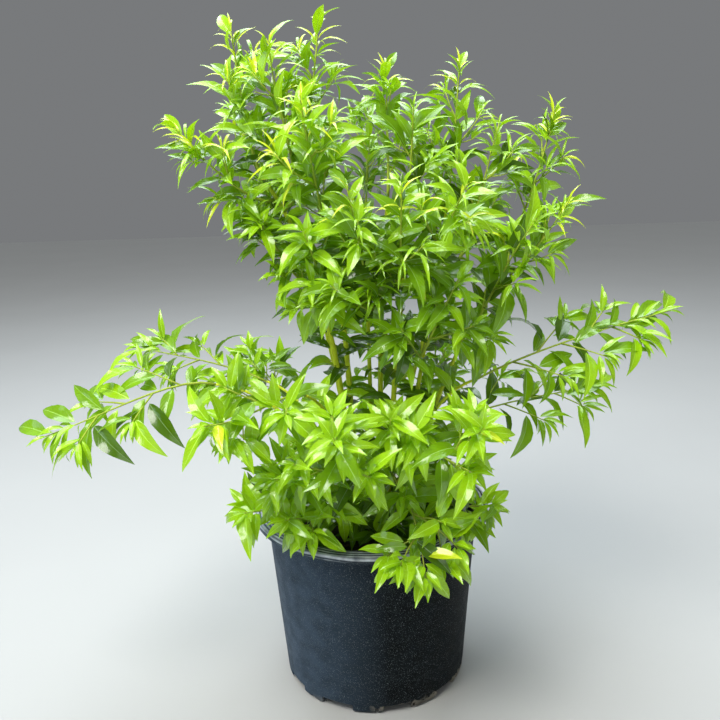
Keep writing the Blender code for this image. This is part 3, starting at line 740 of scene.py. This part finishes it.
def add_limb(bm, points, radii, sides):
    """A tapering limb: one ring of corners carried along the path, with flat ends."""
    tangents = tangents_of(points)
    ring = bmesh.ops.create_circle(bm, cap_ends=True, segments=sides, radius=radii[0])["verts"]
    turn = UP.rotation_difference(tangents[0]).to_matrix().to_4x4()
    bmesh.ops.transform(bm, matrix=Matrix.Translation(points[0]) @ turn, verts=ring)
    end = next(face for face in ring[0].link_faces)
    for step in range(1, len(points)):
        last = end
        grown = bmesh.ops.extrude_face_region(bm, geom=[last])["geom"]
        end = next(item for item in grown if isinstance(item, bmesh.types.BMFace))
        if step > 1:
            bmesh.ops.delete(bm, geom=[last], context="FACES_ONLY")
        here = Matrix.Translation(-points[step - 1])
        bend = tangents[step - 1].rotation_difference(tangents[step]).to_matrix().to_4x4()
        taper = Matrix.Scale(radii[step] / radii[step - 1], 4)
        there = Matrix.Translation(points[step])
        bmesh.ops.transform(bm, matrix=there @ taper @ bend @ here, verts=end.verts)


def between(ends, share):
    """The value at a share of the way from the first end to the last."""
    return ends[0] + (ends[-1] - ends[0]) * share


def even_taper(first, last, count):
    return [between((first, last), step / (count - 1)) for step in range(count)]


def cane_radii(cane, path):
    return even_taper(cane.radius, cane.radius * CANE_TAPER, len(path))


def cane_path(cane, steps=CANE_STEPS):
    """From a foot cut level on the mix to the tip, leaving upward and ending along its lean or arch."""
    foot = polar(cane.foot_heading, cane.foot_reach, SOIL_LEVEL + FIT_GAP)
    tip = polar(cane.heading, cane.reach, cane.height)
    lean = (tip - foot).normalized()
    outward = polar(cane.heading, 1, 0)
    leaving = lean.lerp(UP, 0.5 + 0.5 * cane.arch).normalized()
    arriving = lean.lerp(outward, max(0, cane.arch)).normalized()
    handle = (tip - foot).length / 3
    level_cut = foot + UP * CANE_CUT_RISE
    return [foot, *curve_points(level_cut, level_cut + leaving * handle, tip - arriving * handle, tip, steps)]


def length_of(path):
    return sum((b - a).length for a, b in zip(path, path[1:]))


def point_on(points, share):
    """The point and direction at a share of the path's length."""
    left = share * length_of(points)
    for start, end in zip(points, points[1:]):
        run = end - start
        if left <= run.length:
            return start + run * (left / run.length), run.normalized()
        left -= run.length
    return end, run.normalized()


class Shoot(NamedTuple):
    """A stem or twig: its path, its foot's radius, its order from the stem, and its young leaves."""

    path: list
    radius: float
    order: int
    young: int


def spray_stem(spray, path, radii):
    """The spray's main stem, from 0.3 mm clear of its cane, with a young run on to its tip."""
    habit = HABITS[spray.habit]
    goal = polar(spray.heading, spray.reach, spray.height)
    cane_point, along = point_on(path, spray.at)
    way = (goal - cane_point).normalized()
    if spray.at == 1:
        leaving = along
        start = cane_point + along * FIT_GAP
        foot_radius = radii[-1]
    else:
        leaving = (way - along * way.dot(along)).normalized()
        cane_radius = between(radii, spray.at)
        start = cane_point + leaving * (cane_radius + FIT_GAP)
        foot_radius = min(SPRAY_FOOT_RADIUS, cane_radius * STEM_FOOT_SHARE)
    end = start + (goal - start) * SPRAY_STEM_SHARE
    arriving = (way + UP * habit.bend).normalized()
    first_handle = start + leaving * (end - start).length * STEM_LEAVING_SHARE
    last_handle = end - arriving * (end - start).length * STEM_ARRIVING_SHARE
    curve = curve_points(start, first_handle, last_handle, end, SPRAY_STEM_STEPS)
    tip = end + arriving * habit.young_run
    return Shoot([start, *curve[1:], tip], foot_radius, 0, STEM_YOUNG)


def side_way(along, turn, spread, habit):
    """A direction that leaves `along` by the spread: all round it, or in two ranks that face the light."""
    if habit.two_ranked:
        rank = UPPER_RANK if turn % 2 < 1 else -UPPER_RANK
        around = rank + UP * RANK_SWAY * math.sin(turn * RANK_SWAY_TURN)
        around = (around - along * around.dot(along)).normalized()
    else:
        reference = along.orthogonal().normalized()
        around = Matrix.Rotation(math.radians(turn * GOLDEN_ANGLE), 3, along) @ reference
    angle = math.radians(spread)
    return (along * math.cos(angle) + around * math.sin(angle)).normalized()


def first_turn_of(habit, rng):
    return rng.choice((0, 1)) if habit.two_ranked else rng.random() * FIRST_TURNS


def clear_of_pot(point):
    """Whether a point is over the lip, outside it, or above the mix within the wall."""
    reach = math.hypot(point.x, point.y)
    if point.z > POT_HEIGHT + POT_CLEARANCE or reach > LIP_RADIUS + POT_CLEARANCE:
        return True
    return reach < wall_radius(point.z) - POT_WALL - POT_CLEARANCE and point.z > SOIL_LEVEL + POT_CLEARANCE


def side_path(start, way, reach, rise):
    """A side shoot's path, bent up or down from its way by its rise, and the middle of that way."""
    middle = start + way * reach * 0.5
    end = start + way * reach + UP * reach * rise
    return curve_points(start, start.lerp(middle, 0.7), middle.lerp(end, 0.3), end, SHOOT_STEPS), middle


def side_shoots(parent, spray, rng, growth):
    """A shoot's side shoots by the source's rule, each curving between its two ends."""
    habit = HABITS[spray.habit]
    length = length_of(parent.path)
    count = max(growth.fewest, round(length * (LAST_TWIG - FIRST_TWIG) / growth.spacing))
    first_turn = first_turn_of(habit, rng)
    shoots = []
    for index in range(count):
        at = FIRST_TWIG + (LAST_TWIG - FIRST_TWIG) * index / count
        start, along = point_on(parent.path, at)
        share = habit.twig_share * growth.share * (1 - TWIG_TAPER * at)
        reach = max(growth.shortest, length * share) * rng.uniform(*TWIG_LENGTH_SWAY)
        way = side_way(along, first_turn + index, TWIG_SPREAD, habit)
        path, middle = side_path(start, way, reach, habit.bend * 0.5)
        if clear_of_pot(path[-1]) and clear_of_pot(middle):
            shoots.append(Shoot(path, growth.radius, parent.order + 1, growth.young))
    return shoots


class Leaf(NamedTuple):
    """A leaf's root, its direction, the light it faces, its size, how it bends and curls, and its tone."""

    root: Vector
    way: Vector
    light: Vector
    length: float
    width: float
    bend: float
    curl: float
    tone: str


def tone_of(brightness):
    """Picks a leaf's tone by its brightness, which is painted light: young leaves sit at the brightest shoot
    tips, and the darkest tone, painted shade, inside the crown.
    """
    return next(tone for tone, look in LEAF_LOOKS.items() if brightness > look.least)


def light_sway(rng):
    """How far a leaf turns from the light to one side or another."""
    return Vector((rng.uniform(-1, 1), rng.uniform(-1, 1), 0)) * LIGHT_SWAY


def grown_leaves(shoot, spray, rng):
    """Alternate leaves along a shoot, smaller and closer to its line towards the tip."""
    habit = HABITS[spray.habit]
    bare = BARE_STEM if shoot.order == 0 else BARE_TWIG
    count = max(2, round(length_of(shoot.path) * (1 - bare) / habit.spacing))
    first_turn = first_turn_of(habit, rng)
    outward = polar(spray.heading, OUTWARD_LEAN, 0)
    leaves = []
    for index in range(count):
        share = 1 - (1 - bare) * (1 - (index + 0.3) / count) ** habit.gather
        root, along = point_on(shoot.path, share)
        size = habit.leaf * between((1, habit.tip_leaf), share) * rng.uniform(*LEAF_SIZE_SWAY)
        spread = between((habit.foot_spread, habit.tip_spread), share)
        spread += rng.uniform(-LEAF_SPREAD_SWAY, LEAF_SPREAD_SWAY)
        way = side_way(along, first_turn + index, spread, habit)
        way -= UP * (habit.droop + rng.uniform(*LEAF_DROOP_SWAY))
        light = LIGHT + outward + light_sway(rng)
        # Painted light: the spray's light and the leaf's share along the shoot pick a lit or shaded tone.
        brightness = spray.light * SPRAY_LIGHT + share * TIP_LIGHT + rng.uniform(*LIGHT_CHANCE)
        width = LEAF_WIDTH * size * rng.uniform(*LEAF_WIDTH_SWAY)
        bend, curl = rng.uniform(*LEAF_BEND), rng.uniform(*LEAF_CURL)
        form = (LEAF_LENGTH * size, width, bend, curl)
        leaves.append(Leaf(root, way.normalized(), light, *form, tone_of(brightness)))
    return leaves


def lone_leaf(root, way, brightness, rng):
    """A leaf that stands by itself on a cane."""
    size = rng.uniform(*LONE_LEAF_SIZE)
    light = LIGHT + light_sway(rng)
    bend, curl = rng.uniform(*LEAF_BEND), rng.uniform(*LEAF_CURL)
    form = (LEAF_LENGTH * size, LEAF_WIDTH * size, bend, curl)
    return Leaf(root, way.normalized(), light, *form, tone_of(brightness))


def cane_leaves(cane, path, rng):
    """Lone leaves on a cane itself, painted darker as shade inside the plant and painted paler on the low
    canes that arch out into the light.
    """
    count = round(length_of(path) * (1 - BARE_CANE) / CANE_LEAF_SPACING)
    leaves = []
    for index in range(count):
        root, along = point_on(path, BARE_CANE + (1 - BARE_CANE) * (index + rng.random()) / count)
        way = side_way(along, index, rng.uniform(*CANE_LEAF_SPREAD), HABITS["upright"])
        way -= UP * rng.uniform(*CANE_LEAF_DROOP)
        # Painted light: arching canes lighter, the rest darker as painted shade.
        brightness = cane.arch * ARCH_LIGHT + rng.uniform(*CANE_LEAF_LIGHT)
        leaves.append(lone_leaf(root, way, brightness, rng))
    return leaves


def basal_shoots(cane, path, rng):
    """Short leafy shoots from an outer cane's foot, which lean out over the potting mix."""
    if cane.foot_reach < BASAL_REACH:
        return []
    shoots = []
    for index in range(BASAL_SHOOTS):
        start = point_on(path, BASAL_SHARE * (index + 0.5) / BASAL_SHOOTS)[0]
        heading = cane.foot_heading + rng.uniform(-BASAL_SWAY, BASAL_SWAY)
        way = polar(heading, 1, rng.uniform(*BASAL_CLIMB)).normalized()
        points = side_path(start, way, rng.uniform(*BASAL_LENGTH), -BASAL_SAG)[0]
        if clear_of_pot(points[-1]):
            shoots.append(Shoot(points, FINE_TWIGS.radius, 2, FINE_TWIGS.young))
    return shoots


def young_leaves(shoot, spray, rng):
    """The narrow, curled leaves that close in round a shoot's tip."""
    habit = HABITS[spray.habit]
    first_turn = rng.random() * FIRST_TURNS
    leaves = []
    for index in range(shoot.young):
        inward = index / shoot.young
        root, along = point_on(shoot.path, 1 - YOUNG_RUN_SHARE * (1 - inward))
        spread = habit.tip_spread * between(YOUNG_SPREAD, inward)
        way = side_way(along, first_turn + index, spread, HABITS["upright"])
        length = YOUNG_LEAF_LENGTH * between(YOUNG_SIZE, inward) * rng.uniform(*YOUNG_LENGTH_SWAY)
        # Painted light: the young leaves' tone follows their spray's painted light.
        brightness = spray.light * YOUNG_SPRAY_LIGHT + habit.young_light
        brightness += rng.uniform(-YOUNG_LIGHT_CHANCE, YOUNG_LIGHT_CHANCE) - SHOOT_DIMMING * shoot.order
        bend, curl = habit.young_bend * rng.uniform(*YOUNG_BEND_SHARE), rng.uniform(*YOUNG_CURL)
        form = (length, length * habit.young_width, bend, curl)
        leaves.append(Leaf(root, way, LIGHT, *form, tone_of(brightness)))
    return leaves


def half_width(share):
    """The outline's half width at a share of the blade: a round foot, full sides, a drawn-out tip."""
    low_set, fullness, drawn_out = 0.82, 0.86, 0.28
    return max(0, math.sin(math.pi * share**low_set)) ** fullness * (1 - drawn_out * share**3)


def leaf_template():
    """One flat blade on its stalk, in units of its half width and length, and which faces are its rib."""
    columns = (-1.0, -0.55, -RIB_SHARE, RIB_SHARE, 0.55, 1.0)
    rows = (0.0, 0.08, 0.20, 0.36, 0.54, 0.72, 0.87, 1.0)
    bm = bmesh.new()
    bmesh.ops.create_grid(bm, x_segments=len(columns) - 1, y_segments=len(rows) - 1, size=1)
    for vert in bm.verts:
        across = columns[round((vert.co.x + 1) / 2 * (len(columns) - 1))]
        along = rows[round((vert.co.y + 1) / 2 * (len(rows) - 1))]
        wide = half_width(along)
        narrow = math.copysign(RIB_SHARE * (1 - RIB_TAPER * along), across)
        vert.co = (narrow if abs(across) == RIB_SHARE else across * max(wide, abs(narrow)), along, 0)
    foot = min((edge for edge in bm.edges if max(abs(vert.co.x) for vert in edge.verts) <= RIB_SHARE),
               key=lambda edge: max(vert.co.y for vert in edge.verts))
    stalk = bmesh.ops.extrude_edge_only(bm, edges=[foot])["geom"]
    ends = [item for item in stalk if isinstance(item, bmesh.types.BMVert)]
    bmesh.ops.translate(bm, vec=(0, -STALK_SHARE, 0), verts=ends)
    bmesh.ops.remove_doubles(bm, verts=bm.verts, dist=1e-4)
    bm.verts.index_update()
    points = np.array([vert.co[:2] for vert in bm.verts])
    faces = [[vert.index for vert in face.verts] for face in bm.faces]
    ribs = [max(abs(vert.co.x) for vert in face.verts) < 2 * RIB_SHARE for face in bm.faces]
    bm.free()
    return points, faces, ribs


def leaf_points(leaf, shape, phase):
    """The template bent into one leaf: its sides raised from the rib, arched, waved and curled at its tip."""
    half = shape[:, 0] * leaf.width / 2
    along = shape[:, 1]
    share = np.clip(along, 0, 1)
    side = half + leaf.length * LEAF_HOOK * math.sin(phase) * share**2.5
    rise = np.abs(half) * (LEAF_FOLD + LEAF_WAVE * np.sin(along * LEAF_WAVE_TURNS + phase))
    drop = leaf.length * ((1 - np.cos(leaf.bend * share)) / leaf.bend + leaf.curl * share**4)
    forward = leaf.length * (np.sin(leaf.bend * share) / leaf.bend + np.minimum(along, 0) + STALK_SHARE)
    width_axis = leaf.light.cross(leaf.way).normalized()
    upper = leaf.way.cross(width_axis)
    axes = np.array((width_axis, upper, leaf.way))
    return np.array(leaf.root) + np.stack((side, rise - drop, forward), 1) @ axes


def joined_leaves(name, leaves, template, materials, rng):
    """All the leaves of one tone as one mesh, built from arrays."""
    shape, faces, ribs = template
    points = np.concatenate([leaf_points(leaf, shape, rng.uniform(0, math.tau)) for leaf in leaves])
    count = len(shape)
    polygons = [[corner + count * index for corner in face] for index in range(len(leaves)) for face in faces]
    mesh = bpy.data.meshes.new(name)
    mesh.from_pydata(points.tolist(), [], polygons)
    mesh.polygons.foreach_set("material_index", [int(rib) for rib in ribs] * len(leaves))
    mesh.polygons.foreach_set("use_smooth", [True] * len(polygons))
    surface = mesh.uv_layers.new(name="surface")
    flat = [(0.5 + shape[corner, 0] / 2, shape[corner, 1]) for face in faces for corner in face]
    surface.uv.foreach_set("vector", np.tile(np.array(flat).ravel(), len(leaves)))
    mesh.update()
    new_piece(name, mesh, materials, "leaf")


def build_canes(rng):
    """Each cane as a fine tube whose rings swell at its leaf scars and wander a little."""
    material = bark_material("cane_bark", **CANE_BARK)
    for cane in CANES:
        path = cane_path(cane, BARK_STEPS)
        scar_gap = rng.uniform(*SCAR_SPACING)
        radii = []
        for step, radius in enumerate(cane_radii(cane, path)):
            beyond_scar = length_of(path[: step + 1]) % scar_gap - scar_gap / 2
            swell = SCAR_SWELL * math.exp(-((beyond_scar / SCAR_HEIGHT) ** 2))
            radii.append(radius * (SCAR_WAIST + swell))
        bm = bmesh.new()
        add_limb(bm, path, radii, BARK_SIDES)
        for vert in bm.verts:
            wander = Vector((rng.gauss(0, 1), rng.gauss(0, 1), rng.gauss(0, 1)))
            vert.co += wander * cane.radius * BARK_WANDER
        bmesh.ops.recalc_face_normals(bm, faces=bm.faces)
        mesh = mesh_of(cane.name + "_bark", bm)
        mesh.shade_smooth()
        new_piece(cane.name + "_bark", mesh, [material], "bark", cane.name)


def clothed(wood, shoots, spray, rng):
    """Adds the shoots to the wood, and gives their leaves."""
    leaves = []
    for shoot in shoots:
        add_limb(wood, shoot.path, even_taper(shoot.radius, SHOOT_TIP_RADIUS, len(shoot.path)), SHOOT_SIDES)
        leaves += grown_leaves(shoot, spray, rng) + young_leaves(shoot, spray, rng)
    return leaves


def grow_spray(wood, spray, cane, path):
    """Adds the spray's stem and twigs to the wood, and gives its leaves.

    The twigs of a two-ranked spray bear leaves alone, and its fine twigs are let go.
    """
    rng = random.Random(spray.name)
    stem = spray_stem(spray, path, cane_radii(cane, path))
    twigs = side_shoots(stem, spray, rng, TWIGS)
    fine_twigs = [shoot for twig in twigs for shoot in side_shoots(twig, spray, rng, FINE_TWIGS)]
    if HABITS[spray.habit].two_ranked:
        fine_twigs = []
    return clothed(wood, (stem, *twigs, *fine_twigs), spray, rng)


def grow_low(wood, cane, path):
    """Adds the leafy shoots at a cane's foot to the wood, and gives their leaves and the cane's own."""
    rng = random.Random(cane.name)
    leaves = cane_leaves(cane, path, rng)
    low_growth = Spray(cane.name, cane.name, 0, cane.foot_heading, 0, 0, "bushy", BASAL_LIGHT)
    return leaves + clothed(wood, basal_shoots(cane, path, rng), low_growth, rng)


def build_twigs(wood):
    """Every stem and twig as one piece, which stands for the sprays' solids."""
    bmesh.ops.recalc_face_normals(wood, faces=wood.faces)
    mesh = mesh_of("twigs", wood)
    mesh.shade_smooth()
    sprays = [spray.name for spray in SPRAYS]
    new_piece("twigs", mesh, [bark_material("twig_bark", **TWIG_BARK)], "leaf", *sprays)


def build_leaves(grown):
    """Joins the leaves that are clear of the pot, each tone as one piece."""
    leaves = {tone: [] for tone in LEAF_LOOKS}
    for leaf in grown:
        tip = leaf.root + leaf.way * leaf.length
        if clear_of_pot(tip) and clear_of_pot(leaf.root.lerp(tip, 0.5)):
            leaves[leaf.tone].append(leaf)
    template = leaf_template()
    rng = random.Random("leaf waves")
    for tone, look in LEAF_LOOKS.items():
        blade = leaf_material(f"{tone}_leaf", look.color, look.glow, look.roughness)
        pale = tuple(min(1, part * 1.3 + 0.06) for part in look.color)
        rib = rib_material(f"{tone}_rib", pale)
        joined_leaves(f"leaves_{tone}", leaves[tone], template, [blade, rib], rng)


def build_foliage():
    """Grows every spray and the low growth on every cane, then builds the twigs and the leaves."""
    canes = {cane.name: cane for cane in CANES}
    paths = {cane.name: cane_path(cane) for cane in CANES}
    wood = bmesh.new()
    grown = []
    for spray in SPRAYS:
        grown += grow_spray(wood, spray, canes[spray.cane], paths[spray.cane])
    for cane in CANES:
        grown += grow_low(wood, cane, paths[cane.name])
    build_twigs(wood)
    build_leaves(grown)


def build_stage():
    bm = bmesh.new()
    bmesh.ops.create_grid(bm, x_segments=1, y_segments=1, size=6)
    floor = bpy.data.objects.new("floor", mesh_of("floor", bm))
    floor.data.materials.append(floor_material())
    bpy.context.scene.collection.objects.link(floor)


def add_light(kind, name, power, color, spot, aim):
    lamp = bpy.data.lights.new(name, kind)
    lamp.energy = power
    lamp.color = color
    thing = bpy.data.objects.new(name, lamp)
    thing.location = spot
    thing.rotation_euler = (Vector(aim) - Vector(spot)).to_track_quat("-Z", "Y").to_euler()
    bpy.context.scene.collection.objects.link(thing)
    return lamp


def build_light():
    """Plain soft studio light: a dim even surround, a soft sky, and large lamps in front and above."""
    world = bpy.data.worlds.new("studio")
    bpy.context.scene.world = world
    world.use_nodes = True
    world.node_tree.nodes["Background"].inputs["Color"].default_value = (0.94, 0.97, 1.0, 1)
    world.node_tree.nodes["Background"].inputs["Strength"].default_value = 0.20
    add_light("AREA", "key", 60, (1, 0.98, 0.93), (-0.7, -1.1, 2.2), (0, 0, 0.45)).size = 1.1
    add_light("AREA", "front", 13, (0.95, 1, 0.97), (0.2, -2.3, 0.5), (0, 0, 0.3)).size = 1.5
    add_light("AREA", "side", 9, (0.66, 0.82, 1), (-2.0, -0.7, 0.9), (0, 0, 0.3)).size = 1.0
    add_light("AREA", "ceiling", 64, (0.82, 0.92, 1), (-0.1, 0.8, 2.3), (0, 0, 0.5)).size = 1.9
    add_light("SUN", "sky", 0.8, (0.92, 0.97, 1), (-0.2, 0.2, 2), (0, 0, 0)).angle = 1.4
    bpy.context.scene.view_settings.view_transform = "Standard"


def build_camera():
    """The photo's view: from a little above, and rolled a little."""
    pitch, roll = math.radians(CAMERA_PITCH), math.radians(CAMERA_ROLL)
    forward = Vector((0, math.cos(pitch), -math.sin(pitch)))
    down = Vector((0, -math.sin(pitch), -math.cos(pitch)))
    level = Vector((1, 0, 0))
    right = level * math.cos(roll) + down * math.sin(roll)
    below = down * math.cos(roll) - level * math.sin(roll)
    lens = bpy.data.cameras.new("camera")
    lens.sensor_width = SENSOR_WIDTH
    lens.lens = SENSOR_WIDTH * FOCAL_PIXELS / FRAME_PIXELS
    camera = bpy.data.objects.new("camera", lens)
    bpy.context.scene.collection.objects.link(camera)
    place = Matrix((right, -below, -forward)).transposed().to_4x4()
    place.translation = CAMERA_PLACE
    camera.matrix_world = place
    bpy.context.scene.camera = camera


build_camera()
build_light()
build_stage()
build_pot(random.Random("drain bites"))
mix_edge = wall_radius(SOIL_LEVEL) - POT_WALL - FIT_GAP
mix_rng = random.Random("potting mix")
build_mix(mix_rng, mix_edge)
build_chips(mix_rng, mix_edge)
build_canes(random.Random("bark"))
build_foliage()
